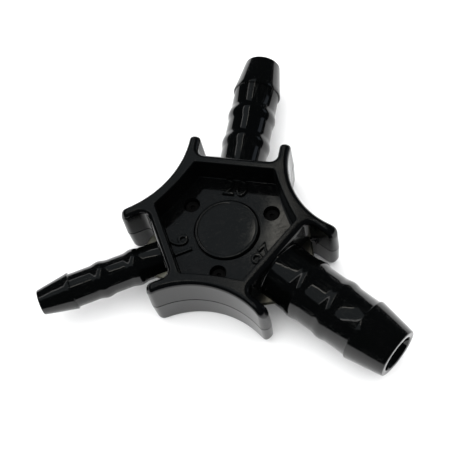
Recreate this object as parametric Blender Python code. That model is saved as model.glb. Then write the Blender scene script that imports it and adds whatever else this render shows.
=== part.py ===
"""Three-way pipe calibrator: a flat hub with three mandrels that round and chamfer multilayer pipe.

Two half shells close on each other at the parting plane. Between them they hold the key of each
mandrel and the tangs of two chamfer blades beside it. Three screws and captive nuts clamp them.

Sizes are in millimetres. An arm's own frame has +X along its mandrel and its flat at FLAT_DISTANCE.
"""

import math
from dataclasses import dataclass

import bmesh
import bpy
from mathutils import Vector

MM = 0.001
TOUCH = 0.25  # gap between faces that rest on each other


@dataclass(frozen=True)
class Arm:
    """One of the three stations, with the pipe that it serves."""

    size: str
    bearing: float  # degrees, anticlockwise from +X
    pipe_outside: float
    pipe_wall: float
    reach: float  # flat of the hub to the mandrel's tip
    lead_in: float  # length of the cone from the barb to the tip
    tip_drop: float  # crest radius less tip radius
    tip_wall: float
    horn_clearance: float  # pipe's outside to the horns' inner sides
    horn_length: float  # flat of the hub to the horns' ends

    @property
    def crest(self):
        return self.pipe_outside / 2 - self.pipe_wall - PIPE_PLAY

    @property
    def land(self):
        return self.crest - RING_HEIGHT

    @property
    def gap(self):
        return self.pipe_outside / 2 + self.horn_clearance


PIPE_PLAY = 0.05  # radial play of a ring's crest in the pipe's bore
RING_HEIGHT = 0.5  # rings and barb over the lands between them
ARMS = (
    Arm("20", 90, 20.0, 2.0, 43.0, 12.1, 1.9, 1.85, 2.6, 7.3),
    Arm("16", 210, 16.0, 2.0, 40.4, 10.8, 1.85, 1.7, 3.6, 8.1),
    Arm("26", 330, 26.0, 3.0, 43.1, 12.2, 2.1, 2.0, 1.2, 9.1),
)

# Hub, seen along the tool's axis
FLAT_DISTANCE = 21.5  # hub centre to the outer face of each flat wall
FLAT_WALL = 3.3
PAD_DEPTH = 23.4  # hub centre to the hollow of each finger pad
PAD_WALL = 3.9
POCKET_FLAT = 12.7  # half the length of the pocket's straight side behind each flat
HORN_TIP_RADIUS = 2.0
HORN_FILLET = 2.3  # between a horn's inner side and the flat

# Hub, across the parting plane
ROOF = 1.05  # shell left above the thickest mandrel's crest
WEB_HALF = 2.1  # parting plane to the pocket's floor
SIDE_DRAFT = 0.25  # how far the outside leans in from the parting plane to the rim
RIM_ROUND = 1.5
POCKET_BREAK = 0.5  # chamfer round the pocket's mouth

# Mandrels
RING_WIDTH = 5.0
RING_CREST = 2.0  # full-height part of a ring's width
RING_BACK_STEPS = (9.8, 20.6)  # barb's back edge to the middle of each ring
TIP_ROUND = 0.4
PLUG_LENGTH = 7.0  # solid root between the flat and the bottom of the bore
BORE_BREAK = 0.3

# Key that holds a mandrel's root inside the flat wall
SKIN = 0.85  # wall left on each side of the groove
KEY_LIP = 0.1  # key above the land, across the parting plane
KEY_WING = 3.0  # key beside the land, in the parting plane

# Chamfer blades
BLADE_HALF = 0.6  # half the thickness
BLADE_OVERLAP = 0.1  # cutting edge past the pipe's outside
BLADE_STAND = 1.8  # flat of the hub to the start of the cutting edge
BLADE_EMBED = 3.5  # depth of a blade in the mandrel
BLADE_HOOK = 1.2  # tang past the blade's outer edge, behind the skin

# Centre discs
DISC_RADIUS = 10.2
DISC_PROUD = 0.8  # over the pocket's floor
DISC_SEAT = 0.6  # recess in the floor
DISC_EDGE = 0.45
SPIGOT_RADIUS = 4.0

# Screws, sleeves and nuts
HEAD_RADIUS = 2.25
HEAD_HEIGHT = 1.5
SOCKET_RADIUS = 0.75
SOCKET_DEPTH = 0.8
SHANK_RADIUS = 1.25
SHANK_LENGTH = 6.0
WELL_CLEARANCE = 0.35
SLEEVE_WALL = 0.85
SLEEVE_DEPTH = 2.2  # front sleeve below the parting plane
SEAT_THICKNESS = 0.9
BOSS_WALL = 0.8
BOSS_FLOOR = 2.65  # rear boss between the sleeve's end and the nut
NUT_ACROSS_FLATS = 5.0
NUT_THICKNESS = 2.0

MANDREL_SEGMENTS = 28
DISC_SEGMENTS = 40
SCREW_SEGMENTS = 20
PAST = 1.0  # how far a cutter runs past the face that it opens

# What follows from the sizes above
HALF_HEIGHT = max(arm.crest for arm in ARMS) + ROOF
FACE_HEIGHT = WEB_HALF + DISC_PROUD  # parting plane to a disc's face
POCKET_DEPTH = PAD_DEPTH - PAD_WALL
SCREW_CIRCLE = (DISC_RADIUS + POCKET_DEPTH) / 2
WELL_RADIUS = HEAD_RADIUS + WELL_CLEARANCE
SLEEVE_RADIUS = WELL_RADIUS + SLEEVE_WALL
BOSS_RADIUS = SLEEVE_RADIUS + TOUCH + BOSS_WALL
SEAT_HEIGHT = SEAT_THICKNESS - SLEEVE_DEPTH
NUT_TOP = -(SLEEVE_DEPTH + TOUCH + BOSS_FLOOR)
BOSS_END = NUT_TOP - NUT_THICKNESS - 2 * TOUCH
GROOVE = (FLAT_DISTANCE - FLAT_WALL + SKIN, FLAT_DISTANCE - SKIN)
KEY = (GROOVE[0] + TOUCH, GROOVE[1] - TOUCH)


# ---- outlines -------------------------------------------------------------------------------


def polar(angle, radius=1.0):
    return Vector((math.cos(angle), math.sin(angle))) * radius


def arc(centre, radius, start, end, steps):
    """Points on a circle from angle start to angle end, both included."""
    return [centre + polar(start + (end - start) * i / steps, radius) for i in range(steps + 1)]


def heading(vector):
    return math.atan2(vector.y, vector.x)


def unwrapped(start, end, direction):
    """The end angle as reached from start when turning in the given direction, +1 or -1."""
    return start + direction * ((direction * (end - start)) % math.tau)


def in_hub(arm, along, across):
    """A point of an arm's frame in the hub's frame."""
    bearing = math.radians(arm.bearing)
    return polar(bearing, along) + polar(bearing + math.pi / 2, across)


def tip_centre(arm, side):
    along = FLAT_DISTANCE + arm.horn_length - HORN_TIP_RADIUS
    return in_hub(arm, along, side * (arm.gap + HORN_TIP_RADIUS))


def pad_circle(first, second):
    """Circle of the hollow pad from one arm's horn to the next's: tangent to both horn tips, and
    through the pad's deepest point on the line halfway between the arms."""
    bearing = math.radians(first.bearing) + math.tau / 6
    deepest = polar(bearing, PAD_DEPTH)
    start, end = tip_centre(first, +1), tip_centre(second, -1)
    outward = (end - start).orthogonal().normalized()
    if outward.dot(deepest) < 0:
        outward.negate()
    low, high = 0.0, 100 * PAD_DEPTH
    for _ in range(60):
        middle = (low + high) / 2
        centre = (start + end) / 2 + outward * middle
        if (centre - start).length - (centre - deepest).length > HORN_TIP_RADIUS:
            low = middle
        else:
            high = middle
    return centre, (centre - deepest).length


def hub_outline():
    """Outside of the hub, anticlockwise: for each arm a horn, the flat, a horn, then the pad."""
    points = []
    for i, arm in enumerate(ARMS):
        before, _ = pad_circle(ARMS[i - 1], arm)
        after, radius = pad_circle(arm, ARMS[(i + 1) % len(ARMS)])
        turn = math.radians(arm.bearing)
        inner, outer = turn + math.pi / 2, turn - math.pi / 2
        right, left = tip_centre(arm, -1), tip_centre(arm, +1)
        start = heading(before - right)
        points += arc(right, HORN_TIP_RADIUS, start, unwrapped(start, inner, +1), 7)
        along = FLAT_DISTANCE + HORN_FILLET
        for side in (-1, 1):
            centre = in_hub(arm, along, side * (arm.gap - HORN_FILLET))
            start = outer if side < 0 else turn + math.pi
            points += arc(centre, HORN_FILLET, start, start - math.pi / 2, 4)
        end = heading(after - left)
        points += arc(left, HORN_TIP_RADIUS, outer, unwrapped(outer, end, +1), 7)
        start = end + math.pi
        stop = heading(tip_centre(ARMS[(i + 1) % len(ARMS)], -1) - after)
        points += arc(after, radius, start, unwrapped(start, stop, -1), 12)[1:-1]
    return points


def arc_through(start, middle, end, steps):
    """Arc through three points, without its two end points."""
    a, b = middle - start, end - start
    d = 2 * a.cross(b)
    ux = (b.y * a.length_squared - a.y * b.length_squared) / d
    uy = (a.x * b.length_squared - b.x * a.length_squared) / d
    centre = start + Vector((ux, uy))
    first, last = heading(start - centre), heading(end - centre)
    direction = 1 if d > 0 else -1
    last = unwrapped(first, last, direction)
    return arc(centre, (start - centre).length, first, last, steps)[1:-1]


def pocket_outline():
    """Mouth of the pocket, anticlockwise: a straight side behind each flat, a bowed one per pad."""
    points = []
    for i, arm in enumerate(ARMS):
        following = ARMS[(i + 1) % len(ARMS)]
        along = FLAT_DISTANCE - FLAT_WALL
        here = in_hub(arm, along, POCKET_FLAT)
        there = in_hub(following, along, -POCKET_FLAT)
        middle = polar(math.radians(arm.bearing) + math.tau / 6, POCKET_DEPTH)
        points += [in_hub(arm, along, -POCKET_FLAT), here]
        points += arc_through(here, middle, there, 8)
    return points


def inset(points, distance):
    """An anticlockwise outline moved inwards by the distance, or outwards if it is negative."""
    moved = []
    for i, point in enumerate(points):
        before = (point - points[i - 1]).normalized()
        after = (points[(i + 1) % len(points)] - point).normalized()
        inwards = Vector((-before.y - after.y, before.x + after.x))
        moved.append(point + inwards * distance / (1 + before.dot(after)))
    return moved


def blade_outline(arm, grow=0.0):
    """A blade in its arm's frame, on the +Y side: embedded root, hooked tang, 45 degree edge."""
    outer = arm.pipe_outside / 2 + BLADE_OVERLAP
    edge_start = FLAT_DISTANCE + BLADE_STAND
    edge_end = edge_start + outer - arm.land
    corners = [
        (KEY[0], arm.land - BLADE_EMBED),
        (edge_end, arm.land - BLADE_EMBED),
        (edge_end, arm.land),
        (edge_start, outer),
        (KEY[1], outer),
        (KEY[1], outer + BLADE_HOOK),
        (KEY[0], outer + BLADE_HOOK),
    ]
    return inset([Vector(corner) for corner in corners], -grow)


# ---- meshes and objects ---------------------------------------------------------------------


def plastic(name, colour, roughness):
    return material(name, colour, roughness, 0.0)


def material(name, colour, roughness, metallic):
    made = bpy.data.materials.new(name)
    made.use_nodes = True
    shader = made.node_tree.nodes["Principled BSDF"]
    shader.inputs["Base Color"].default_value = (*colour, 1.0)
    shader.inputs["Roughness"].default_value = roughness
    shader.inputs["Metallic"].default_value = metallic
    return made


def finished(name, bm, parent, look=None):
    """The bmesh as an object under the parent. Without a look it is a cutter."""
    bmesh.ops.recalc_face_normals(bm, faces=bm.faces)
    mesh = bpy.data.meshes.new(name)
    bm.to_mesh(mesh)
    bm.free()
    mesh.shade_smooth()
    mesh.set_sharp_from_angle(angle=math.radians(30))
    obj = bpy.data.objects.new(name, mesh)
    bpy.context.scene.collection.objects.link(obj)
    obj.parent = parent
    if look is None:
        obj.hide_render = True
        obj.display_type = "WIRE"
    else:
        mesh.materials.append(look)
    return obj


def lofted(levels):
    """A closed bmesh over outlines of equal length, each with its height, joined level to level."""
    bm = bmesh.new()
    rings = [[bm.verts.new((p.x * MM, p.y * MM, z * MM)) for p in ring] for ring, z in levels]
    for lower, upper in zip(rings, rings[1:]):
        for i in range(len(lower)):
            bm.faces.new((lower[i - 1], lower[i], upper[i], upper[i - 1]))
    bm.faces.new(rings[0])
    bm.faces.new(rings[-1])
    return bm


def turned(profile, axis, segments):
    """A closed bmesh turned round the axis from (along, radius) points. An end off the axis is
    joined to the other end, so such a profile makes a ring."""
    bm = bmesh.new()
    axis = Vector(axis)
    side = axis.orthogonal().normalized()
    verts = [bm.verts.new((axis * along + side * radius) * MM) for along, radius in profile]
    edges = [bm.edges.new(pair) for pair in zip(verts, verts[1:])]
    if profile[0][1] > 0:
        edges.append(bm.edges.new((verts[-1], verts[0])))
    bmesh.ops.spin(
        bm, geom=verts + edges, cent=(0, 0, 0), axis=axis, angle=math.tau, steps=segments,
        use_merge=True, use_duplicate=False,
    )
    bmesh.ops.remove_doubles(bm, verts=bm.verts, dist=1e-7)
    return bm


def cylinder(low, high, radius, axis, segments):
    return turned([(low, 0), (low, radius), (high, radius), (high, 0)], axis, segments)


def box(low, high):
    bm = bmesh.new()
    made = bmesh.ops.create_cube(bm, size=1.0)
    for vert in made["verts"]:
        share = [c + 0.5 for c in vert.co]
        vert.co = [(a + (b - a) * t) * MM for a, b, t in zip(low, high, share)]
    return bm


def boolean(target, tool, operation="DIFFERENCE"):
    """EXACT leaves open edges after the shells' many cuts, so those use the MANIFOLD solver."""
    modifier = target.modifiers.new(f"{operation.lower()} {tool.name}", "BOOLEAN")
    modifier.operation = operation
    modifier.solver = "MANIFOLD" if target.name.endswith("shell") else "EXACT"
    modifier.object = tool


def empty(name, parent=None, location=(0, 0, 0), turn=0.0):
    made = bpy.data.objects.new(name, None)
    bpy.context.scene.collection.objects.link(made)
    made.parent = parent
    made.location = Vector(location) * MM
    made.rotation_euler.z = math.radians(turn)
    return made


# ---- pieces ---------------------------------------------------------------------------------


def half_shell(name, side, hub, look):
    """Half of the hub on one side of the parting plane, with its pocket and centre recess."""
    outline = hub_outline()
    levels = [(outline, side * TOUCH / 2)]
    for degrees in (0, 30, 60, 90):
        turn = math.radians(degrees)
        lean = SIDE_DRAFT + RIM_ROUND * (1 - math.cos(turn))
        height = HALF_HEIGHT - RIM_ROUND * (1 - math.sin(turn))
        levels.append((inset(outline, lean), side * height))
    shell = finished(name, lofted(levels), hub, look)

    mouth = pocket_outline()
    pocket = [
        (mouth, side * WEB_HALF),
        (mouth, side * (HALF_HEIGHT - POCKET_BREAK)),
        (inset(mouth, -POCKET_BREAK - PAST), side * (HALF_HEIGHT + PAST)),
    ]
    boolean(shell, finished(f"{name} pocket", lofted(pocket), hub))
    return shell


def cut_disc_seat(shell, side, hub):
    low, high = sorted((side * (WEB_HALF - DISC_SEAT), side * HALF_HEIGHT))
    bm = cylinder(low, high, DISC_RADIUS + TOUCH, (0, 0, 1), DISC_SEGMENTS)
    boolean(shell, finished(f"{shell.name} disc seat", bm, hub))
    bm = cylinder(-HALF_HEIGHT, HALF_HEIGHT, SPIGOT_RADIUS + TOUCH, (0, 0, 1), SCREW_SEGMENTS)
    boolean(shell, finished(f"{shell.name} spigot hole", bm, hub))


def centre_disc(name, side, hub, look):
    """Press-in cap with a rounded edge, on a spigot through the web."""
    under = WEB_HALF - DISC_SEAT + TOUCH
    round_off = DISC_EDGE * (1 - math.sqrt(0.5))
    profile = [
        (side * TOUCH, 0),
        (side * TOUCH, SPIGOT_RADIUS),
        (side * under, SPIGOT_RADIUS),
        (side * under, DISC_RADIUS),
        (side * (FACE_HEIGHT - DISC_EDGE), DISC_RADIUS),
        (side * (FACE_HEIGHT - round_off), DISC_RADIUS - round_off),
        (side * FACE_HEIGHT, DISC_RADIUS - DISC_EDGE),
        (side * FACE_HEIGHT, 0),
    ]
    return finished(name, turned(profile, (0, 0, 1), DISC_SEGMENTS), hub, look)


def mandrel_profile(arm):
    """(along, radius) from the middle of the key, over the rings and the barb, into the bore."""
    tip = FLAT_DISTANCE + arm.reach
    barb = tip - arm.lead_in
    tip_radius = arm.crest - arm.tip_drop
    bore = tip_radius - arm.tip_wall
    profile = [(sum(KEY) / 2, 0), (sum(KEY) / 2, arm.land)]
    for back in sorted(RING_BACK_STEPS, reverse=True):
        shoulder = (RING_WIDTH + RING_CREST) / 4
        for offset, rise in (
            (-RING_WIDTH / 2, 0), (-shoulder, 0.7), (-RING_CREST / 2, 1),
            (RING_CREST / 2, 1), (shoulder, 0.7), (RING_WIDTH / 2, 0),
        ):
            profile.append((barb - back + offset, arm.land + rise * RING_HEIGHT))
    slope = arm.tip_drop / (arm.lead_in - TIP_ROUND)
    profile += [
        (barb, arm.land),
        (barb, arm.crest),
        (barb + TIP_ROUND, arm.crest - slope * TIP_ROUND / 2),
        (tip - TIP_ROUND, tip_radius + slope * TIP_ROUND),
        (tip - 0.3 * TIP_ROUND, tip_radius - 0.3 * TIP_ROUND),
        (tip, tip_radius - TIP_ROUND),
        (tip, bore + BORE_BREAK),
        (tip - BORE_BREAK, bore),
        (FLAT_DISTANCE + PLUG_LENGTH, bore),
        (FLAT_DISTANCE + PLUG_LENGTH, 0),
    ]
    return profile


def key_box(arm, grow):
    across, high = arm.land + KEY_WING + grow, arm.land + KEY_LIP + grow
    return box((KEY[0] - grow, -across, -high), (KEY[1] + grow, across, high))


def mandrel(arm, station, look):
    bm = turned(mandrel_profile(arm), (1, 0, 0), MANDREL_SEGMENTS)
    made = finished(f"mandrel_{arm.size}", bm, station, look)
    boolean(made, finished(f"key {arm.size}", key_box(arm, 0), station), "UNION")
    return made


def cut_mandrel_seat(shells, arm, station):
    """The groove for the key, and the round opening in the outer skin for the neck."""
    groove = finished(f"groove {arm.size}", key_box(arm, TOUCH), station)
    neck = cylinder(KEY[0], FLAT_DISTANCE + PAST, arm.land + TOUCH, (1, 0, 0), MANDREL_SEGMENTS)
    opening = finished(f"neck opening {arm.size}", neck, station)
    for shell in shells:
        boolean(shell, groove)
        boolean(shell, opening)


def blades(arm, station, holders, look):
    """The two blades of an arm, and their slots in the mandrel and both shells."""
    for label, side in (("left", 1), ("right", -1)):
        shapes = []
        for grow in (0.0, TOUCH):
            outline = [Vector((p.x, side * p.y)) for p in blade_outline(arm, grow)]
            half = BLADE_HALF + grow
            shapes.append(lofted([(outline, -half), (outline, half)]))
        finished(f"blade_{arm.size}_{label}", shapes[0], station, look)
        slot = finished(f"slot {arm.size} {label}", shapes[1], station)
        for holder in holders:
            boolean(holder, slot)


def screw_station(front, rear, station):
    """Sleeve and well in the front shell, boss and socket in the rear one, and the nut's recess."""
    up = (0, 0, 1)

    def tool(name, low, high, radius):
        return finished(f"{name} {station.name}", cylinder(low, high, radius, up, SCREW_SEGMENTS), station)

    boolean(front, tool("sleeve", -SLEEVE_DEPTH, WEB_HALF / 2, SLEEVE_RADIUS), "UNION")
    boolean(front, tool("well", SEAT_HEIGHT, HALF_HEIGHT, WELL_RADIUS))
    boolean(rear, tool("boss", BOSS_END, -WEB_HALF / 2, BOSS_RADIUS), "UNION")
    boolean(rear, tool("socket", -SLEEVE_DEPTH - TOUCH, PAST, SLEEVE_RADIUS + TOUCH))
    hole = tool("shank hole", BOSS_END - PAST, HALF_HEIGHT, SHANK_RADIUS + TOUCH)
    boolean(front, hole)
    boolean(rear, hole)
    outline = hexagon(NUT_ACROSS_FLATS + 2 * TOUCH)
    recess = lofted([(outline, BOSS_END - PAST), (outline, NUT_TOP)])
    boolean(rear, finished(f"nut recess {station.name}", recess, station))


def hexagon(across_flats):
    return [polar(math.radians(60 * i), across_flats / math.sqrt(3)) for i in range(6)]


def screw(number, station, look):
    """Low-head screw, its head over the seat and its shank down into the nut."""
    under = SEAT_HEIGHT + TOUCH
    profile = [
        (under - SHANK_LENGTH, 0),
        (under - SHANK_LENGTH, SHANK_RADIUS),
        (under, SHANK_RADIUS),
        (under, HEAD_RADIUS),
        (under + HEAD_HEIGHT, HEAD_RADIUS),
        (under + HEAD_HEIGHT, SOCKET_RADIUS),
        (under + HEAD_HEIGHT - SOCKET_DEPTH, SOCKET_RADIUS),
        (under + HEAD_HEIGHT - SOCKET_DEPTH, 0),
    ]
    return finished(f"screw_{number}", turned(profile, (0, 0, 1), SCREW_SEGMENTS), station, look)


def nut(number, station, look):
    outline = hexagon(NUT_ACROSS_FLATS)
    bottom = NUT_TOP - TOUCH - NUT_THICKNESS
    bm = lofted([(outline, bottom), (outline, NUT_TOP - TOUCH)])
    made = finished(f"nut_{number}", bm, station, look)
    bore = cylinder(bottom - PAST, NUT_TOP + PAST, SHANK_RADIUS + TOUCH, (0, 0, 1), SCREW_SEGMENTS)
    boolean(made, finished(f"nut bore {number}", bore, station))
    return made


def clear_scene():
    for obj in list(bpy.data.objects):
        bpy.data.objects.remove(obj, do_unlink=True)


def build():
    clear_scene()
    hub = empty("hub", location=(0, 0, -FACE_HEIGHT))
    front = half_shell("front_shell", +1, hub, plastic("front shell", (0.016, 0.018, 0.020), 0.32))
    rear = half_shell("rear_shell", -1, hub, plastic("rear shell", (0.015, 0.017, 0.019), 0.34))

    stations = [
        empty(f"screw {i + 1}", hub, turn=arm.bearing + 60) for i, arm in enumerate(ARMS)
    ]
    for number, station in enumerate(stations, 1):
        station.location = station.rotation_euler.to_matrix() @ Vector((SCREW_CIRCLE * MM, 0, 0))
        screw_station(front, rear, station)
        screw(number, station, material(f"screw {number}", (0.020, 0.020, 0.022), 0.45, 0.8))
        nut(number, station, material(f"nut {number}", (0.55, 0.54, 0.50), 0.35, 1.0))

    for name, side, shell in (("front_disc", 1, front), ("rear_disc", -1, rear)):
        cut_disc_seat(shell, side, hub)
        centre_disc(name, side, hub, plastic(name.replace("_", " "), (0.017, 0.019, 0.022), 0.22))

    for arm in ARMS:
        station = empty(f"arm {arm.size}", hub, turn=arm.bearing)
        body = mandrel(arm, station, plastic(f"mandrel {arm.size}", (0.012, 0.013, 0.014), 0.16))
        cut_mandrel_seat((front, rear), arm, station)
        steel = material(f"blades {arm.size}", (0.46, 0.45, 0.42), 0.30, 1.0)
        blades(arm, station, (front, rear, body), steel)


build()
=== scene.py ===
import math

import bmesh
import bpy
from mathutils import Euler, Matrix, Vector


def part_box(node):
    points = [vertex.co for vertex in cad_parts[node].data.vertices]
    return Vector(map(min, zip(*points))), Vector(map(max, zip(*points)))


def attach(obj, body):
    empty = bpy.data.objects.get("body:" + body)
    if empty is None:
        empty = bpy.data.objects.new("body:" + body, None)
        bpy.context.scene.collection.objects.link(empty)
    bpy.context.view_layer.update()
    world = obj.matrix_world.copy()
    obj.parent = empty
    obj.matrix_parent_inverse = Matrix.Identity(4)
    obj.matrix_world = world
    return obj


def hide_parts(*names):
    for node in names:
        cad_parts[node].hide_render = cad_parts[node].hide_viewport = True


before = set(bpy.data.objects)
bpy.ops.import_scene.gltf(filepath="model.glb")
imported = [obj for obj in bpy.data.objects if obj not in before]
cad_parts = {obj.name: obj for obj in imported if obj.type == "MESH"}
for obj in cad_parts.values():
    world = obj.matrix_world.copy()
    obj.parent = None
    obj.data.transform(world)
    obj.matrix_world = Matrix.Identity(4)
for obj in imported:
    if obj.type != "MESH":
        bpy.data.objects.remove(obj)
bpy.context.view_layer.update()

bl_info = {
    "name": "Three-way pipe calibrator",
    "version": (1, 0, 0),
    "blender": (4, 5, 0),
    "location": "3D View > Sidebar > Calibrator",
    "description": "Builds the finished look of a three-way pipe calibrator round its solid model",
    "category": "Object",
}

MM = 0.001
UP = Vector((0, 0, 1))
CAP_HEIGHT = 0.70  # height of a digit as a share of the font's size

# Angles in radians of the points that round an edge off, over a quarter circle
FINE_ROUND = (0.0, 0.3, 0.6, 0.9, 1.2, math.pi / 2)
COARSE_ROUND = (0.0, 0.4, 0.8, 1.2, math.pi / 2)

# The arms in anticlockwise order, by the outside diameter of their pipe in millimetres
BEARINGS = {"20": math.radians(90), "16": math.radians(210), "26": math.radians(330)}
SIZES = tuple(BEARINGS)


# ---- what the solid model says --------------------------------------------------------------


def outwards(bearing):
    return Vector((math.cos(bearing), math.sin(bearing), 0))


def reach(node, direction):
    """How far a solid node's mesh reaches along a direction from the origin."""
    return max(direction.dot(vertex.co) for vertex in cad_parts[node].data.vertices)


PARTING = (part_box("front_shell")[1].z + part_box("rear_shell")[0].z) / 2
HALF_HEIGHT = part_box("front_shell")[1].z - PARTING
FACE_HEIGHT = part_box("front_disc")[1].z - PARTING
DISC_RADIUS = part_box("front_disc")[1].x
TIP = {size: reach(f"mandrel_{size}", outwards(BEARINGS[size])) for size in SIZES}
CREST = {size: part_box(f"mandrel_{size}")[1].z - PARTING for size in SIZES}


# ---- settings -------------------------------------------------------------------------------


def length(name, description, millimetres):
    return bpy.props.FloatProperty(
        name=name, description=description, default=millimetres * MM, unit="LENGTH", precision=5
    )


def lengths(name, description, *millimetres):
    return bpy.props.FloatVectorProperty(
        name=name, description=f"{description}, for the 20, 16 and 26 mm arms",
        default=[value * MM for value in millimetres], size=3, unit="LENGTH", precision=5,
    )


def colour(name, description, *rgb):
    return bpy.props.FloatVectorProperty(
        name=name, description=description, default=rgb, size=3, subtype="COLOR", min=0, max=1
    )


def factor(name, description, value):
    return bpy.props.FloatProperty(
        name=name, description=description, default=value, min=0, max=1, subtype="FACTOR"
    )


class HubSettings(bpy.types.PropertyGroup):
    """Sizes of the two half shells."""

    flat: length("Flat distance", "Hub centre to the outer face of each flat wall", 21.5)
    flat_wall: length("Flat wall", "Thickness of the flat walls", 3.3)
    pad_depth: length("Pad depth", "Hub centre to the hollow of each finger pad", 23.4)
    pad_wall: length("Pad wall", "Thickness of the wall behind a pad", 3.9)
    pocket_flat: length("Pocket side", "Half the pocket's straight side behind a flat", 12.7)
    pocket_corner: length("Pocket corner", "Rounding of the pocket's corners", 0.9)
    gap: lengths("Horn gap", "Arm's axis to the horns' inner sides", 12.6, 11.6, 14.2)
    horn: lengths("Horn length", "Flat wall to the horns' ends", 7.3, 8.1, 9.1)
    horn_tip: length("Horn tip radius", "Radius of the horns' round ends", 2.0)
    horn_fillet: length("Horn fillet", "Fillet between a horn and the flat", 2.3)
    horn_drop: lengths("Horn end drop", "Radius that turns a horn's rim down", 2.4, 3.2, 4.2)
    web: length("Web", "Parting plane to the pocket floor", 2.1)
    draft: length("Draft", "How far the outside leans in towards the rim", 0.25)
    rim_round: length("Rim rounding", "Radius of the rim's outer edge", 1.5)
    rim_inner: length("Rim inner rounding", "Radius of the pocket mouth's edge", 0.45)
    pocket_draft: length("Pocket draft", "How far the pocket's walls lean in towards its floor", 0.12)
    floor_fillet: length("Floor fillet", "Fillet between the pocket's wall and floor", 0.3)
    recess: length("Disc recess", "Depth of the disc's recess in the floor", 0.6)
    recess_play: length("Recess play", "Gap round the disc", 0.25)
    seam: length("Seam chamfer", "Chamfer that makes the groove at the parting plane", 0.18)
    seam_gap: length("Seam gap", "Half the gap between the shells", 0.05)


class FastenerSettings(bpy.types.PropertyGroup):
    """Sizes of the screws, their wells and the nuts."""

    circle: length("Screw circle", "Hub centre to each screw", 14.85)
    well: length("Well radius", "Radius of the well above a screw", 2.6)
    shank: length("Shank radius", "Radius of a screw's shank", 1.25)
    head: length("Head radius", "Radius of a screw's head", 2.25)
    head_height: length("Head height", "Height of a screw's head", 1.5)
    drive: length("Drive radius", "Corner radius of the hexagon socket", 0.86)
    seat: length("Seat depth", "Parting plane down to the screw's seat", 1.3)
    sleeve: length("Sleeve depth", "Parting plane down to the sleeve's end", 2.2)
    sleeve_wall: length("Sleeve wall", "Wall round the well below the web", 0.85)
    boss_wall: length("Boss wall", "Wall round the sleeve in the rear shell", 0.4)
    nut_top: length("Nut top", "Parting plane down to the nut's inner face", 5.1)
    nut_thickness: length("Nut thickness", "Thickness of a nut", 2.0)
    nut_flats: length("Nut across flats", "Nut's size across its flats", 5.0)
    play: length("Play", "Gap round and under the fasteners", 0.25)


class MandrelSettings(bpy.types.PropertyGroup):
    """Sizes of the mandrels and blades."""

    ring_height: length("Ring height", "Rings and barb over the lands", 0.5)
    ring_width: length("Ring width", "Foot to foot along the mandrel", 6.0)
    ring_backs: bpy.props.FloatVectorProperty(
        name="Ring places", description="Barb's back edge to the middle of each ring",
        default=(20.6 * MM, 9.8 * MM), size=2, unit="LENGTH", precision=5,
    )
    lead_in: lengths("Lead-in", "Length of the cone from the barb to the tip", 12.1, 10.8, 12.2)
    tip_drop: lengths("Tip drop", "Crest radius less tip radius", 1.9, 1.85, 2.1)
    tip_wall: lengths("Tip wall", "Wall round the bore at the tip", 1.85, 1.7, 2.0)
    tip_round: length("Tip rounding", "Rounding of the tip's outer edge", 0.4)
    barb_round: length("Barb rounding", "Rounding of the barb's back edge", 0.25)
    plug: length("Root plug", "Flat wall to the bottom of the bore", 7.0)
    blade: length("Blade thickness", "Thickness of a chamfer blade", 1.2)
    blade_reach: lengths("Blade reach", "Arm's axis to a blade's outer edge", 10.1, 8.1, 13.1)
    blade_stand: length("Blade stand", "Flat wall to the start of the cutting edge", 1.8)


class NumeralSettings(bpy.types.PropertyGroup):
    """Sizes of the raised pipe sizes on the pocket floor."""

    height: length("Numeral height", "Height of the digits", 5.6)
    raised: length("Numeral relief", "How far the digits stand over the floor", 0.7)
    centre: length("Numeral place", "Hub centre to the middle of the digits", 14.7)
    edge: length("Numeral edge", "Rounding of the digits' edges", 0.28)


class FinishSettings(bpy.types.PropertyGroup):
    """Colours of the finishes."""

    moulded: colour("Moulded plastic", "Shells, as moulded", 0.0009, 0.0010, 0.0011)
    polished: colour("Polished plastic", "Mandrels and discs", 0.0006, 0.0007, 0.0007)
    dust: colour("Dust", "Dust and rubbed marks on the plastic", 0.06, 0.06, 0.058)
    steel: colour("Blade steel", "Ground faces of the blades", 0.36, 0.34, 0.28)
    # Screw colour: black oxide made darker than real oxide, as painted shade for the deep wells that the
    # screws sit in
    oxide_and_shade: colour("Black oxide", "Screws", 0.002, 0.002, 0.002)
    zinc: colour("Zinc plate", "Nuts", 0.50, 0.50, 0.47)


class StageSettings(bpy.types.PropertyGroup):
    """Floor, light and camera."""

    floor: colour("Floor", "Colour of the floor", 0.92, 0.92, 0.92)
    azimuth: bpy.props.FloatProperty(
        name="Camera azimuth", description="Camera's bearing round the hub, from -Y",
        default=math.radians(25.07), subtype="ANGLE",
    )
    elevation: bpy.props.FloatProperty(
        name="Camera elevation", description="Camera's height over the parting plane",
        default=math.radians(61.14), subtype="ANGLE",
    )
    roll: bpy.props.FloatProperty(
        name="Camera roll", description="Turn about the line of sight",
        default=math.radians(-16.09), subtype="ANGLE",
    )
    distance: length("Camera distance", "Camera to its target", 291.8)
    target: bpy.props.FloatVectorProperty(
        name="Camera target", description="Point aimed at, on the parting plane",
        default=(-1.43 * MM, 2.66 * MM), size=2, unit="LENGTH", precision=5,
    )
    lens: bpy.props.FloatProperty(
        name="Lens", description="Focal length on a 36 mm sensor", default=74.31, subtype="NONE"
    )
    room: colour("Room", "Colour of the dim room round the softboxes", 0.75, 0.87, 1.0)
    room_light: factor("Room light", "Brightness of the room", 0.035)


# ---- shader writing -------------------------------------------------------------------------


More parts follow.
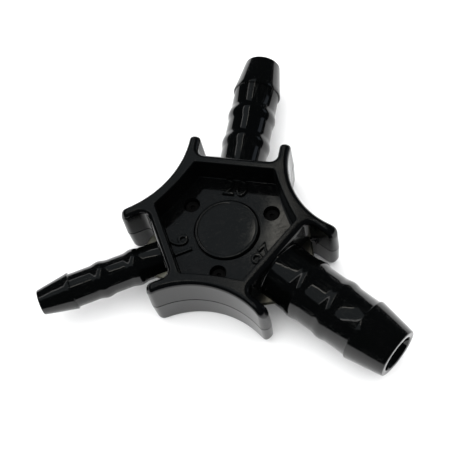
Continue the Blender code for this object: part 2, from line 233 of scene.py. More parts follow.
class Number:
    """A shader value for use in Python expressions. Each operation adds its Math node."""

    def __init__(self, finish, socket):
        self.finish = finish
        self.socket = socket

    def math(self, operation, *values):
        inputs = dict(enumerate(values))
        return Number(self.finish, self.finish.node("ShaderNodeMath", {"operation": operation}, inputs))

    def __add__(self, other):
        return self.math("ADD", self, other)

    def __sub__(self, other):
        return self.math("SUBTRACT", self, other)

    def __rsub__(self, other):
        return self.math("SUBTRACT", other, self)

    def __mul__(self, other):
        return self.math("MULTIPLY", self, other)

    __radd__ = __add__
    __rmul__ = __mul__

    def __abs__(self):
        return self.math("ABSOLUTE", self)

    def ramp(self, low, high):
        """0 below low, 1 above high, smooth between them."""
        settings = {"interpolation_type": "SMOOTHSTEP", "clamp": True}
        inputs = {"Value": self, "From Min": low, "From Max": high, "To Min": 0.0, "To Max": 1.0}
        return Number(self.finish, self.finish.node("ShaderNodeMapRange", settings, inputs))

    def either(self, other):
        return self.math("MAXIMUM", self, other)


class Finish:
    """A material being written: one Principled shader and the nodes that feed it."""

    def __init__(self, name, constants):
        self.material = bpy.data.materials.new(name)
        self.material.use_nodes = True
        self.tree = self.material.node_tree
        self.shader = self.tree.nodes["Principled BSDF"]
        for socket, value in constants.items():
            self.shader.inputs[socket].default_value = value
        self.place = self.node("ShaderNodeTexCoord", {}, {}, "Object")

    def node(self, kind, settings, inputs, output=0):
        """Adds a node, with its settings, then the values or links of its sockets."""
        made = self.tree.nodes.new(kind)
        for key, value in settings.items():
            setattr(made, key, value)
        for key, value in inputs.items():
            if isinstance(value, Number):
                value = value.socket
            if isinstance(value, bpy.types.NodeSocket):
                self.tree.links.new(value, made.inputs[key])
            else:
                made.inputs[key].default_value = value
        return made.outputs[output]

    def axis(self, letter):
        return Number(self, self.node("ShaderNodeSeparateXYZ", {}, {0: self.place}, letter))

    def radius(self):
        """Distance from the hub's axis."""
        x, y = self.axis("X"), self.axis("Y")
        return x.math("POWER", x * x + y * y, 0.5)

    def mapped(self, scale, turn=0.0, shift=(0, 0, 0)):
        """Object coordinates, turned about Z, then stretched by the scale per metre."""
        turned = self.node(
            "ShaderNodeMapping", {"vector_type": "TEXTURE"},
            {"Vector": self.place, "Rotation": Euler((0, 0, turn)), "Location": shift},
        )
        return self.node("ShaderNodeMapping", {"vector_type": "POINT"}, {"Vector": turned, "Scale": scale})

    def noise(self, scale, detail=2.0, roughness=0.5, vector=None):
        inputs = {
            "Vector": vector or self.place, "Scale": scale, "Detail": detail, "Roughness": roughness,
        }
        return Number(self, self.node("ShaderNodeTexNoise", {}, inputs))

    def mix(self, factor, first, second):
        """A colour between the first and the second. A colour mix has its factor in socket 0, its
        colours in sockets 6 and 7, and its result in output 2."""
        inputs = {0: factor, 6: opaque(first), 7: opaque(second)}
        return self.node("ShaderNodeMix", {"data_type": "RGBA"}, inputs, 2)

    def bump(self, height, distance, strength):
        inputs = {"Height": height, "Distance": distance, "Strength": strength}
        return self.node("ShaderNodeBump", {}, inputs)

    def feed(self, **links):
        """Links what changes over the surface to the shader's sockets."""
        for name, value in links.items():
            socket = self.shader.inputs[name.replace("_", " ")]
            self.tree.links.new(value.socket if isinstance(value, Number) else value, socket)
        return self.material


def opaque(rgb):
    return rgb if isinstance(rgb, bpy.types.NodeSocket) else (*rgb, 1.0)


def scratches(finish, turns, long, thin, low, high):
    """Fine straight marks in several directions, as a mask."""
    marks = None
    for i, turn in enumerate(turns):
        place = finish.mapped((1 / long, 1 / thin, 1 / thin), turn, (0.013 * i, 0.007 * i, 0))
        line = finish.noise(1.0, 1.0, 0.5, place).ramp(low, high)
        broken = finish.noise(1 / (2.5 * long), 0.0, 0.5, finish.mapped((1, 1, 1), 0, (0.031 * i, 0, 0)))
        line = line * broken.ramp(0.42, 0.55)
        marks = line if marks is None else marks.either(line)
    return marks


# ---- finishes -------------------------------------------------------------------------------


def moulded_plastic(name, finishes):
    """Black plastic from a mould that was spark eroded outside and polished inside the pocket: satin
    grain and rubbed spots outside, fine scratches and flow marks on the shiny floor."""
    finish = Finish(name, {"IOR": 1.4, "Metallic": 0.0})
    level = abs(finish.axis("Z") - PARTING)
    inside = (1 - finish.radius().ramp(20.2 * MM, 20.6 * MM)) * (1 - level.ramp(9.5 * MM, 10.2 * MM))
    grain = finish.noise(4200, 2.0, 0.6)
    flow = finish.noise(75, 3.0, 0.6)
    marks = scratches(finish, (0.35, 0.42, 1.25, 2.2), 4 * MM, 0.06 * MM, 0.68, 0.74) * inside
    rubbed = finish.noise(380, 4.0, 0.65).ramp(0.60, 0.80) * (1 - inside)
    base = finish.mix(rubbed * 0.05 + marks * 0.12, finishes.moulded, finishes.dust)
    satin = 0.12 + flow.ramp(0.35, 0.7) * 0.05 + rubbed * 0.08
    shiny = 0.05 + flow.ramp(0.35, 0.7) * 0.04 + marks * 0.2
    roughness = satin + (shiny - satin) * inside
    height = grain * (1 - inside * 0.9) - marks + flow * inside * 3.0
    return finish.feed(
        Base_Color=base, Roughness=roughness, Normal=finish.bump(height, 0.012 * MM, 0.8)
    )


def polished_plastic(name, finishes, turn, waviness):
    """Glossy black plastic with drag marks along a bearing, a mould seam and faint waviness."""
    finish = Finish(name, {"IOR": 1.42, "Metallic": 0.0})
    wave = finish.noise(140, 2.0, 0.5)
    speck = finish.noise(2600, 2.0, 0.6).ramp(0.70, 0.78)
    drag = scratches(finish, (turn, turn + 0.06), 7 * MM, 0.09 * MM, 0.66, 0.74)
    smear = finish.noise(230, 3.0, 0.6).ramp(0.45, 0.75)
    base = finish.mix(speck * 0.04 + drag * 0.08, finishes.polished, finishes.dust)
    roughness = 0.05 + smear * waviness * 0.008 + drag * 0.18 + speck * 0.2
    seam = 1 - abs(finish.axis("Z") - PARTING).ramp(0.02 * MM, 0.10 * MM)
    height = wave * waviness + seam * 4.0 - drag * 0.6
    return finish.feed(
        Base_Color=base, Roughness=roughness, Normal=finish.bump(height, 0.012 * MM, 0.8)
    )


def ground_steel(name, finishes, turn):
    """Tool steel with grinding lines across the cutting edge and a trace of burr and oil."""
    finish = Finish(name, {"IOR": 2.5, "Metallic": 1.0})
    lines = finish.noise(1.0, 3.0, 0.6, finish.mapped((300, 9000, 9000), turn))
    stain = finish.noise(500, 3.0, 0.6).ramp(0.40, 0.75)
    base = finish.mix(stain * 0.7, finishes.steel, (0.20, 0.19, 0.15))
    roughness = 0.22 + lines * 0.16 + stain * 0.12
    return finish.feed(Base_Color=base, Roughness=roughness, Normal=finish.bump(lines, 0.01 * MM, 0.7))


def screw_oxide_and_painted_shade(name, finishes):
    """Screw finish: dull dark oxide, rubbed grey in small spots. Its colour is darker than real oxide:
    painted shade, so that the screws look as black as the shade deep in their wells.
    """
    finish = Finish(name, {"IOR": 1.12, "Metallic": 0.0})
    rubbed = finish.noise(1800, 3.0, 0.6).ramp(0.60, 0.80)
    base = finish.mix(rubbed * 0.2, finishes.oxide_and_shade, (0.03, 0.03, 0.03))
    grain = finish.noise(7000, 2.0, 0.6)
    roughness = 0.55 + grain * 0.12 - rubbed * 0.1
    return finish.feed(Base_Color=base, Roughness=roughness, Normal=finish.bump(grain, 0.008 * MM, 0.6))


def zinc_plate(name, finishes):
    """Nut finish: bright zinc with a yellowish bloom and a fine grain."""
    finish = Finish(name, {"IOR": 2.0, "Metallic": 1.0})
    bloom = finish.noise(700, 3.0, 0.6)
    base = finish.mix(bloom.ramp(0.35, 0.7), finishes.zinc, (0.42, 0.37, 0.24))
    grain = finish.noise(5000, 2.0, 0.6)
    return finish.feed(
        Base_Color=base, Roughness=0.24 + grain * 0.2, Normal=finish.bump(grain, 0.008 * MM, 0.6)
    )


def floor_with_painted_shade(name, rgb):
    """Matt white paint, with painted shade that greys it towards the outer edges, where the light of a lit
    sweep falls off.
    """
    finish = Finish(name, {"IOR": 1.4, "Metallic": 0.0})
    cloud = finish.noise(3.0, 3.0, 0.5)
    # Painted shade: the colour darkens outwards in place of the light falling off over the floor
    painted_far_shade = finish.radius().ramp(0.16, 0.45)
    base = finish.mix(painted_far_shade + cloud * 0.01, rgb, [0.25 * c for c in rgb])
    return finish.feed(Base_Color=base, Roughness=0.75 + cloud * 0.1)


# ---- outlines drawn with bmesh operators ----------------------------------------------------


def plan(size, along, across, height=0.0):
    """A point of an arm's frame in the row frame. Height is from the parting plane."""
    bearing = BEARINGS[size]
    side = outwards(bearing + math.pi / 2)
    return outwards(bearing) * along + side * across + UP * (PARTING + height)


def heading(vector):
    return math.atan2(vector.y, vector.x)


def turn_between(start, end, direction):
    """The angle turned from start to end in a direction, +1 or -1."""
    return direction * ((direction * (end - start)) % math.tau)


class Pen:
    """Draws one flat closed outline: straight runs by extruding a vertex, arcs by spinning it."""

    def __init__(self, bm, start):
        self.bm = bm
        self.last = bm.verts.new(start)
        self.verts = [self.last]

    def line(self, end):
        grown = bmesh.ops.extrude_vert_indiv(self.bm, verts=[self.last])
        self.last = grown["verts"][0]
        self.last.co = end
        self.verts.append(self.last)

    def swing(self, centre, angle, steps):
        before = set(self.bm.verts)
        grown = bmesh.ops.spin(
            self.bm, geom=[self.last], cent=centre, axis=UP, angle=angle, steps=steps,
            use_merge=False, use_duplicate=False,
        )
        self.verts += [v for v in self.bm.verts if v not in before]
        self.last = next(item for item in grown["geom_last"] if isinstance(item, bmesh.types.BMVert))

    def face(self):
        """Closes the outline on its start, which the pen has come back to, and fills it."""
        bmesh.ops.remove_doubles(self.bm, verts=self.verts, dist=1e-6)
        verts = [v for v in self.verts if v.is_valid]
        edges = {edge for v in verts for edge in v.link_edges}
        made = bmesh.ops.contextual_create(self.bm, geom=list(edges))["faces"][0]
        made.normal_update()
        if made.normal.z < 0:
            made.normal_flip()
        return made


def following(size):
    """The next arm anticlockwise."""
    return SIZES[(SIZES.index(size) + 1) % len(SIZES)]


def tip_centre(hub, size, side):
    i = SIZES.index(size)
    return plan(size, hub.flat + hub.horn[i] - hub.horn_tip, side * (hub.gap[i] + hub.horn_tip))


def pad_centre(hub, size):
    """Centre of the hollow pad after an arm: its arc is tangent to both horn tips, and passes through
    the pad's deepest point."""
    bisector = outwards(BEARINGS[size] + math.tau / 6)
    deepest = bisector * hub.pad_depth + UP * PARTING
    start, end = tip_centre(hub, size, +1), tip_centre(hub, following(size), -1)
    low, high = 0.0, 100 * hub.pad_depth
    for _ in range(60):
        middle = (low + high) / 2
        centre = (start + end) / 2 + UP.cross(start - end).normalized() * middle
        if (centre - start).length - (centre - deepest).length > hub.horn_tip:
            low = middle
        else:
            high = middle
    return centre


def hub_face(bm, hub):
    """The hub's outside as one flat face on the parting plane: horn, flat, horn, pad, three times."""
    pen = None
    for i, size in enumerate(SIZES):
        before, after = pad_centre(hub, SIZES[i - 1]), pad_centre(hub, size)
        right, left = tip_centre(hub, size, -1), tip_centre(hub, size, +1)
        bearing = BEARINGS[size]
        gap, inner = hub.gap[i], hub.gap[i] - hub.horn_fillet
        foot = hub.flat + hub.horn_fillet
        drop = hub.flat + hub.horn[i] - (hub.horn_tip + hub.horn_drop[i]) / 2
        start, end = heading(before - right), heading(after - left)
        stop = heading(tip_centre(hub, following(size), -1) - after)
        if pen is None:
            pen = Pen(bm, right + outwards(start) * hub.horn_tip)
        pen.swing(right, turn_between(start, bearing + math.pi / 2, +1), 16)
        pen.line(plan(size, drop, -gap))
        pen.line(plan(size, foot, -gap))
        pen.swing(plan(size, foot, -inner), -math.pi / 2, 8)
        pen.line(plan(size, hub.flat, inner))
        pen.swing(plan(size, foot, inner), -math.pi / 2, 8)
        pen.line(plan(size, drop, gap))
        pen.line(plan(size, hub.flat + hub.horn[i] - hub.horn_tip, gap))
        pen.swing(left, turn_between(bearing - math.pi / 2, end, +1), 16)
        pen.swing(after, turn_between(end + math.pi, stop, -1), 40)
    return pen.face()


def circle_through(first, second, third):
    """Centre of the circle through three points."""
    a, b = second - first, third - first
    normal = a.cross(b)
    towards = (b * a.length_squared - a * b.length_squared).cross(normal)
    return first + towards / (2 * normal.length_squared)


def pocket_face(bm, hub):
    """The pocket's mouth as one flat face on the parting plane: its walls' outline, widened by the
    rounding of its edge."""
    others = set(bm.faces)
    grow = hub.rim_inner
    along = hub.flat - hub.flat_wall + grow
    half = hub.pocket_flat + grow * math.tan(math.radians(30))
    depth = hub.pad_depth - hub.pad_wall + grow
    pen = Pen(bm, plan(SIZES[0], along, -half))
    corners = []
    for size in SIZES:
        here, there = plan(size, along, half), plan(following(size), along, -half)
        corners += [here, there]
        deepest = outwards(BEARINGS[size] + math.tau / 6) * depth + UP * PARTING
        centre = circle_through(here, deepest, there)
        bowed = math.copysign(1, (deepest - here).cross(there - here).z)
        pen.line(here)
        pen.swing(centre, turn_between(heading(here - centre), heading(there - centre), bowed), 16)
    face = pen.face()
    sharp = [v for v in face.verts if any((v.co - corner).length < 1e-5 for corner in corners)]
    bmesh.ops.bevel(
        bm, geom=sharp, offset=hub.pocket_corner, offset_type="OFFSET", affect="VERTICES",
        segments=5, profile=0.5, material=-1,
    )
    return max((face for face in bm.faces if face not in others), key=lambda face: face.calc_area())


def lift(bm, face, height):
    bmesh.ops.translate(bm, verts=face.verts, vec=UP * height)


def step(bm, face, inwards, upwards):
    """Insets a level face and moves it up, which leaves a ring of wall round it."""
    bmesh.ops.inset_region(
        bm, faces=[face], thickness=inwards, depth=0.0, use_boundary=True, use_even_offset=True
    )
    lift(bm, face, upwards)


def opened(bm, face):
    """Removes a face and returns its edges."""
    edges = list(face.edges)
    bmesh.ops.delete(bm, geom=[face], context="FACES_ONLY")
    return edges


def ring_of(bm, centre, radius, segments):
    """A level circle of edges."""
    made = bmesh.ops.create_circle(
        bm, cap_ends=False, radius=radius, segments=segments, matrix=Matrix.Translation(centre)
    )
    return list({edge for vert in made["verts"] for edge in vert.link_edges})


def tube(bm, edges, centre, stations):
    """Extrudes a closed loop through (shape, height) stations. A shape gives the radius at an angle
    about the centre."""
    for shape, height in stations:
        grown = bmesh.ops.extrude_edge_only(bm, edges=edges)["geom"]
        edges = [item for item in grown if isinstance(item, bmesh.types.BMEdge)]
        for vert in {v for edge in edges for v in edge.verts}:
            angle = heading(vert.co - centre)
            vert.co = centre + outwards(angle) * shape(angle) + UP * (PARTING + height - centre.z)
    return edges


def round_of(radius):
    return lambda angle: radius


def hexagon_of(apothem):
    sixth = math.tau / 6
    return lambda angle: apothem / math.cos((angle + sixth / 2) % sixth - sixth / 2)


def fill_between(bm, edges):
    """Fills a level region between an outer loop and the loops inside it."""
    bmesh.ops.triangle_fill(bm, use_beauty=True, use_dissolve=False, edges=edges, normal=UP)


def close_loop(bm, edges):
    bmesh.ops.contextual_create(bm, geom=edges)


# ---- pieces ---------------------------------------------------------------------------------


def finished(name, bm, material, node=None, sharp=32.0, weighted=False):
    """Turns a bmesh into a piece that rides on the root body and stands for a node."""
    bmesh.ops.recalc_face_normals(bm, faces=bm.faces)
    mesh = bpy.data.meshes.new(name)
    bm.to_mesh(mesh)
    bm.free()
    mesh.shade_smooth()
    mesh.set_sharp_from_angle(angle=math.radians(sharp))
    mesh.materials.append(material)
    piece = bpy.data.objects.new(name, mesh)
    bpy.context.scene.collection.objects.link(piece)
    if weighted:
        modifier = piece.modifiers.new("Even flats", "WEIGHTED_NORMAL")
        modifier.mode = "FACE_AREA"
        modifier.weight = 80
        modifier.keep_sharp = True
    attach(piece, "root")
    if node:
        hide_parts(node)
    return piece


def quarter(radius, steps):
    """(inwards, upwards) steps round a quarter circle that starts upright and ends level."""
    for i in range(steps):
        a, b = (math.pi / 2 * (i + k) / steps for k in (0, 1))
        yield radius * (math.cos(a) - math.cos(b)), radius * (math.sin(b) - math.sin(a))


def half_shell(hub, fasteners, front):
    """One half of the hub, drawn as the front one: its walls, pocket, rim, wells or bosses."""
    bm = bmesh.new()
    outline = hub_face(bm, hub)
    lift(bm, outline, hub.seam_gap + hub.seam)
    grown = bmesh.ops.extrude_face_region(bm, geom=[outline], use_keep_orig=True)["geom"]
    top = next(item for item in grown if isinstance(item, bmesh.types.BMFace))
    step(bm, outline, hub.seam, -hub.seam)
    step(bm, top, hub.draft, HALF_HEIGHT - hub.rim_round - hub.seam - hub.seam_gap)
    for inwards, upwards in quarter(hub.rim_round, 7):
        step(bm, top, inwards, upwards)

    mouth = pocket_face(bm, hub)
    lift(bm, mouth, HALF_HEIGHT)
    opened(bm, top)
    for inwards, upwards in reversed(list(quarter(hub.rim_inner, 4))):
        step(bm, mouth, inwards, -upwards)
    step(bm, mouth, hub.pocket_draft, hub.web + hub.floor_fillet + hub.rim_inner - HALF_HEIGHT)
    for inwards, upwards in quarter(hub.floor_fillet, 4):
        step(bm, mouth, inwards, -upwards)
    fill_between(bm, [edge for edge in bm.edges if edge.is_boundary])

    floor, joint = opened(bm, mouth), opened(bm, outline)
    seat = UP * (PARTING + hub.web)
    recess = DISC_RADIUS + hub.recess_play
    disc = ring_of(bm, seat, recess + 0.07 * MM, 96)
    floor += disc
    close_loop(bm, tube(bm, disc, seat, [
        (round_of(recess), hub.web - 0.07 * MM), (round_of(recess), hub.web - hub.recess),
    ]))
    for size in SIZES:
        centre = outwards(BEARINGS[size] + math.tau / 6) * fasteners.circle + seat
        mouth_radius, stations = (well if front else boss)(hub, fasteners)
        loop = ring_of(bm, centre, mouth_radius, 48)
        floor += loop
        joint += tube(bm, loop, centre, stations)
    fill_between(bm, floor)
    fill_between(bm, joint)
    bmesh.ops.remove_doubles(bm, verts=bm.verts, dist=1e-6)
    drop_horn_ends(bm, hub)
    if not front:
        bmesh.ops.scale(bm, vec=(1, 1, -1), space=Matrix.Translation(UP * -PARTING), verts=bm.verts)
    return bm


def drop_horn_ends(bm, hub):
    """Turns the rim down towards each horn's end, in a quarter circle seen from the side."""
    for i, size in enumerate(SIZES):
        radius = hub.horn_drop[i]
        first = hub.flat + hub.horn[i] - radius
        for vert in bm.verts:
            past = (vert.co.dot(outwards(BEARINGS[size])) - first) / radius
            if past > 0:
                fall = radius * (1 - math.sqrt(max(0.0, 1 - past * past)))
                level = vert.co.z - PARTING
                vert.co.z = PARTING + level * (1 - fall / HALF_HEIGHT)


def well(hub, fasteners):
    """A front well's opening radius and stations: down to the seat, out of the sleeve, and up it."""
    radius, shank = fasteners.well, fasteners.shank + fasteners.play
    sleeve = radius + fasteners.sleeve_wall
    return radius + 0.05 * MM, [
        (round_of(radius), hub.web - 0.05 * MM),
        (round_of(radius), -fasteners.seat),
        (round_of(shank), -fasteners.seat),
        (round_of(shank), -fasteners.sleeve),
        (round_of(sleeve), -fasteners.sleeve),
        (round_of(sleeve), hub.seam_gap),
    ]


def boss(hub, fasteners):
    """A rear boss's foot radius and stations: up the boss, into the nut's recess, down to the joint."""
    socket = fasteners.well + fasteners.sleeve_wall + fasteners.play
    radius, shank = socket + fasteners.boss_wall, fasteners.shank + fasteners.play
    end = fasteners.nut_top + fasteners.nut_thickness + 2 * fasteners.play
    flats = fasteners.nut_flats / 2 + fasteners.play
    return radius + 0.04 * MM, [
        (round_of(radius), hub.web + 0.04 * MM),
        (round_of(radius), end - 0.3 * MM),
        (round_of(radius - 0.3 * MM), end),
        (hexagon_of(flats + 0.15 * MM), end),
        (hexagon_of(flats), end - 0.15 * MM),
        (hexagon_of(flats), fasteners.nut_top),
        (round_of(shank), fasteners.nut_top),
        (round_of(shank), fasteners.sleeve + fasteners.play),
        (round_of(socket), fasteners.sleeve + fasteners.play),
        (round_of(socket), hub.seam_gap),
    ]


def turned(profile, axis, place, segments):
    """A closed bmesh turned about an axis through a place, from (along, radius) points."""
    bm = bmesh.new()
    side = axis.orthogonal().normalized()
    verts = [bm.verts.new(place + axis * along + side * radius) for along, radius in profile]
    edges = [bm.edges.new(pair) for pair in zip(verts, verts[1:])]
    bmesh.ops.spin(
        bm, geom=verts + edges, cent=place, axis=axis, angle=math.tau, steps=segments,
        use_merge=True, use_duplicate=False,
    )
    bmesh.ops.remove_doubles(bm, verts=bm.verts, dist=1e-7)
    return bm


def mandrel_profile(mandrels, hub, i):
    """(along, radius) from inside the flat wall, over both rings and the barb, into the bore."""
    size = SIZES[i]
    tip, crest = TIP[size], CREST[size]
    land = crest - mandrels.ring_height
    barb = tip - mandrels.lead_in[i]
    tip_radius = crest - mandrels.tip_drop[i]
    bore = tip_radius - mandrels.tip_wall[i]
    root = hub.flat - hub.flat_wall / 2
    foot = 0.35 * MM
    profile = [(root, 0), (root, land + foot), (hub.flat, land + foot)]
    profile += [(hub.flat + foot * (1 - math.cos(a)), land + foot * (1 - math.sin(a)))
                for a in COARSE_ROUND[1:]]
    for back in mandrels.ring_backs:
        for k in range(25):
            share = k / 12 - 1
            rise = mandrels.ring_height * (1 + math.cos(math.pi * share)) / 2
            profile.append((barb - back + share * mandrels.ring_width / 2, land + rise))
    slope = mandrels.tip_drop[i] / (mandrels.lead_in[i] - mandrels.tip_round)
    nose, edge = mandrels.tip_round, mandrels.barb_round
    profile += [(barb - 0.08 * MM, land), (barb, land + 0.05 * MM)]
    profile += [(barb + edge * (1 - math.cos(a)), crest - edge * (1 - math.sin(a)))
                for a in COARSE_ROUND]
    start = barb + edge
    for k in range(1, 7):
        along = start + (tip - nose - start) * k / 7
        profile.append((along, crest - slope * (along - start)))
    profile += [(tip - nose * (1 - math.sin(a)), tip_radius - nose * (1 - math.cos(a)))
                for a in FINE_ROUND]
    profile += [
        (tip, bore + 0.3 * MM), (tip - 0.1 * MM, bore + 0.1 * MM), (tip - 0.3 * MM, bore),
        (hub.flat + mandrels.plug + 0.5 * MM, bore - 0.1 * MM),
        (hub.flat + mandrels.plug, bore - 0.6 * MM), (hub.flat + mandrels.plug, 0),
    ]
    return profile


def blade(mandrels, hub, i, side):
    """A plate with an outline of a few corners, thickened both ways, its cutting edge ground thin."""
    size = SIZES[i]
    land = CREST[size] - mandrels.ring_height
    outer = mandrels.blade_reach[i]
    start = hub.flat + mandrels.blade_stand
    end = start + outer - land
    root = hub.flat - 0.6 * MM
    half = mandrels.blade / 2
    corners = [(root, land - 1.0 * MM), (end + 1.0 * MM, land - 1.0 * MM), (start, outer), (root, outer)]
    bm = bmesh.new()
    verts = [bm.verts.new(plan(size, along, side * across, -half)) for along, across in corners]
    face = bmesh.ops.contextual_create(bm, geom=verts)["faces"][0]
    grown = bmesh.ops.extrude_face_region(bm, geom=[face])["geom"]
    upper = [item for item in grown if isinstance(item, bmesh.types.BMVert)]
    bmesh.ops.translate(bm, verts=upper, vec=UP * mandrels.blade)
    ends = [plan(size, along, side * across) for along, across in corners[1:3]]
    along_edge = (ends[1] - ends[0]).normalized()
    cutting = [
        edge for edge in bm.edges
        if abs((edge.verts[1].co - edge.verts[0].co).normalized().dot(along_edge)) > 0.999
    ]
    bmesh.ops.bevel(
        bm, geom=cutting, offset=0.9 * half, offset_type="OFFSET", affect="EDGES", segments=1,
        profile=0.5, material=-1,
    )
    return bm


class CALIBRATOR_OT_shells(bpy.types.Operator):
    """Build the front and rear half shells of the hub"""

    bl_idname = "calibrator.shells"
    bl_label = "Half shells"

    def execute(self, context):
        scene = context.scene
        for name, front in (("front_shell", True), ("rear_shell", False)):
            look = moulded_plastic(f"{name} plastic", scene.calibrator_finishes)
            bm = half_shell(scene.calibrator_hub, scene.calibrator_fasteners, front)
            piece = finished(f"{name}_moulding", bm, look, name, sharp=35, weighted=True)
        return {"FINISHED"}


class CALIBRATOR_OT_mandrels(bpy.types.Operator):
    """Build the three ribbed mandrels"""

    bl_idname = "calibrator.mandrels"
    bl_label = "Mandrels"

    def execute(self, context):
        scene = context.scene
        for i, size in enumerate(SIZES):
            bearing = BEARINGS[size]
            look = polished_plastic(f"mandrel {size} plastic", scene.calibrator_finishes, bearing, waviness=8)
            profile = mandrel_profile(scene.calibrator_mandrels, scene.calibrator_hub, i)
            bm = turned(profile, outwards(bearing), UP * PARTING, 112)
            piece = finished(f"mandrel_{size}_moulding", bm, look, f"mandrel_{size}")
        return {"FINISHED"}


class CALIBRATOR_OT_blades(bpy.types.Operator):
    """Build the chamfer blades beside each mandrel's root"""

    bl_idname = "calibrator.blades"
    bl_label = "Chamfer blades"

    def execute(self, context):
        scene = context.scene
        for i, size in enumerate(SIZES):
            for label, side in (("left", 1), ("right", -1)):
                turn = BEARINGS[size] + side * math.pi / 4
                look = ground_steel(f"blade {size} {label} steel", scene.calibrator_finishes, turn)
                bm = blade(scene.calibrator_mandrels, scene.calibrator_hub, i, side)
                node = f"blade_{size}_{label}"
                finished(f"{node}_ground", bm, look, node, sharp=20)
        return {"FINISHED"}


class CALIBRATOR_OT_discs(bpy.types.Operator):
    """Build the centre discs"""

    bl_idname = "calibrator.discs"
    bl_label = "Centre discs"

    def execute(self, context):
        scene = context.scene
        under = scene.calibrator_hub.web - 0.55 * MM
        edge = 0.5 * MM
        for name, side in (("front_disc", 1), ("rear_disc", -1)):
            profile = [(under, 0), (under, DISC_RADIUS)]
            profile += [
                (FACE_HEIGHT - edge * (1 - math.sin(a)), DISC_RADIUS - edge * (1 - math.cos(a)))
                for a in FINE_ROUND
            ]
            groove = DISC_RADIUS - 1.15 * MM
            profile += [
                (FACE_HEIGHT, groove + 0.12 * MM), (FACE_HEIGHT - 0.05 * MM, groove),
                (FACE_HEIGHT, groove - 0.12 * MM), (FACE_HEIGHT, 0),
            ]
            bm = turned([(side * along, radius) for along, radius in profile], UP, UP * PARTING, 128)
            look = polished_plastic(f"{name} plastic", scene.calibrator_finishes, turn=0.4, waviness=1)
            finished(f"{name}_cap", bm, look, name, sharp=25, weighted=True)
        return {"FINISHED"}


class CALIBRATOR_OT_fasteners(bpy.types.Operator):
    """Build the screws and nuts"""

    bl_idname = "calibrator.fasteners"
    bl_label = "Screws and nuts"

    def execute(self, context):
        scene = context.scene
        sizes = scene.calibrator_fasteners
        for number, size in enumerate(SIZES, 1):
            place = outwards(BEARINGS[size] + math.tau / 6) * sizes.circle + UP * PARTING
            look = screw_oxide_and_painted_shade(f"screw {number} oxide", scene.calibrator_finishes)
            piece = finished(f"screw_{number}_turned", screw(sizes, place), look, f"screw_{number}")
            look = zinc_plate(f"nut {number} zinc", scene.calibrator_finishes)
            piece = finished(f"nut_{number}_pressed", nut(sizes, place), look, f"nut_{number}", sharp=25)
        return {"FINISHED"}


def screw(sizes, place):
    """Low head with a hexagon socket, and a shank with rolled rings for its thread."""
    under = sizes.play - sizes.seat
    top = under + sizes.head_height
    bottom = under - 6.0 * MM
    edge = 0.2 * MM
    bm = bmesh.new()
    drive = hexagon_of(sizes.drive * math.sqrt(3) / 2)
    crown = ring_of(bm, place + UP * top, (sizes.drive + sizes.head) / 2, 36)
    close_loop(bm, tube(bm, crown, place, [(drive, top), (drive, top - 0.8 * MM)]))
    stations = [
        (round_of(sizes.head - edge), top), (round_of(sizes.head), top - edge),
        (round_of(sizes.head), under), (round_of(sizes.shank), under),
    ]
    pitch = 0.45 * MM
    height = under - 1.0 * MM
    while height - pitch > bottom + 0.3 * MM:
        stations += [
            (round_of(sizes.shank), height), (round_of(sizes.shank - 0.25 * MM), height - pitch / 2),
        ]
        height -= pitch
    stations += [(round_of(sizes.shank), height), (round_of(sizes.shank - 0.25 * MM), bottom)]
    close_loop(bm, tube(bm, crown, place, stations))
    return bm


def nut(sizes, place):
    """Hexagon nut with rounded corners and a bore that is countersunk at both ends."""
    top = -(sizes.nut_top + sizes.play)
    bottom = top - sizes.nut_thickness
    flats, bore = sizes.nut_flats / 2, sizes.shank + 0.05 * MM
    bm = bmesh.new()
    loop = ring_of(bm, place + UP * top, flats - 0.1 * MM, 36)
    last = tube(bm, loop, place, [
        (hexagon_of(flats), top - 0.25 * MM), (hexagon_of(flats), bottom + 0.25 * MM),
        (round_of(flats - 0.1 * MM), bottom), (round_of(bore + 0.3 * MM), bottom),
        (round_of(bore), bottom + 0.3 * MM), (round_of(bore), top - 0.3 * MM),
        (round_of(bore + 0.3 * MM), top),
    ])
    bmesh.ops.bridge_loops(bm, edges=loop + last)
    return bm


class CALIBRATOR_OT_numerals(bpy.types.Operator):
    """Build the raised pipe sizes on the pocket floor"""

    bl_idname = "calibrator.numerals"
    bl_label = "Numerals"

    def execute(self, context):
        scene = context.scene
        sizes, hub = scene.calibrator_numerals, scene.calibrator_hub
        for size in SIZES:
            look = polished_plastic(
                f"numeral {size} plastic", scene.calibrator_finishes, turn=0.9, waviness=1
            )
            text = bpy.data.curves.new(f"numeral {size}", "FONT")
            text.body = size
            text.align_x, text.align_y = "CENTER", "CENTER"
            text.size = sizes.height / CAP_HEIGHT
            text.extrude = sizes.raised - sizes.edge
            text.bevel_depth = sizes.edge
            text.offset = -sizes.edge / 2
            text.bevel_resolution = 3
            drawn = bpy.data.objects.new(f"numeral {size}", text)
            scene.collection.objects.link(drawn)
            graph = context.evaluated_depsgraph_get()
            mesh = bpy.data.meshes.new_from_object(drawn.evaluated_get(graph))
            bpy.data.objects.remove(drawn)
            centre = plan(size, sizes.centre, 0, hub.web)
            turn = BEARINGS[size] - math.pi / 2
            mesh.transform(Matrix.Translation(centre) @ Matrix.Rotation(turn, 4, "Z"))
            bm = bmesh.new()
            bm.from_mesh(mesh)
            bpy.data.meshes.remove(mesh)
            bmesh.ops.remove_doubles(bm, verts=bm.verts, dist=1e-6)
            piece = finished(f"numeral_{size}_relief", bm, look, sharp=40, weighted=True)
        return {"FINISHED"}


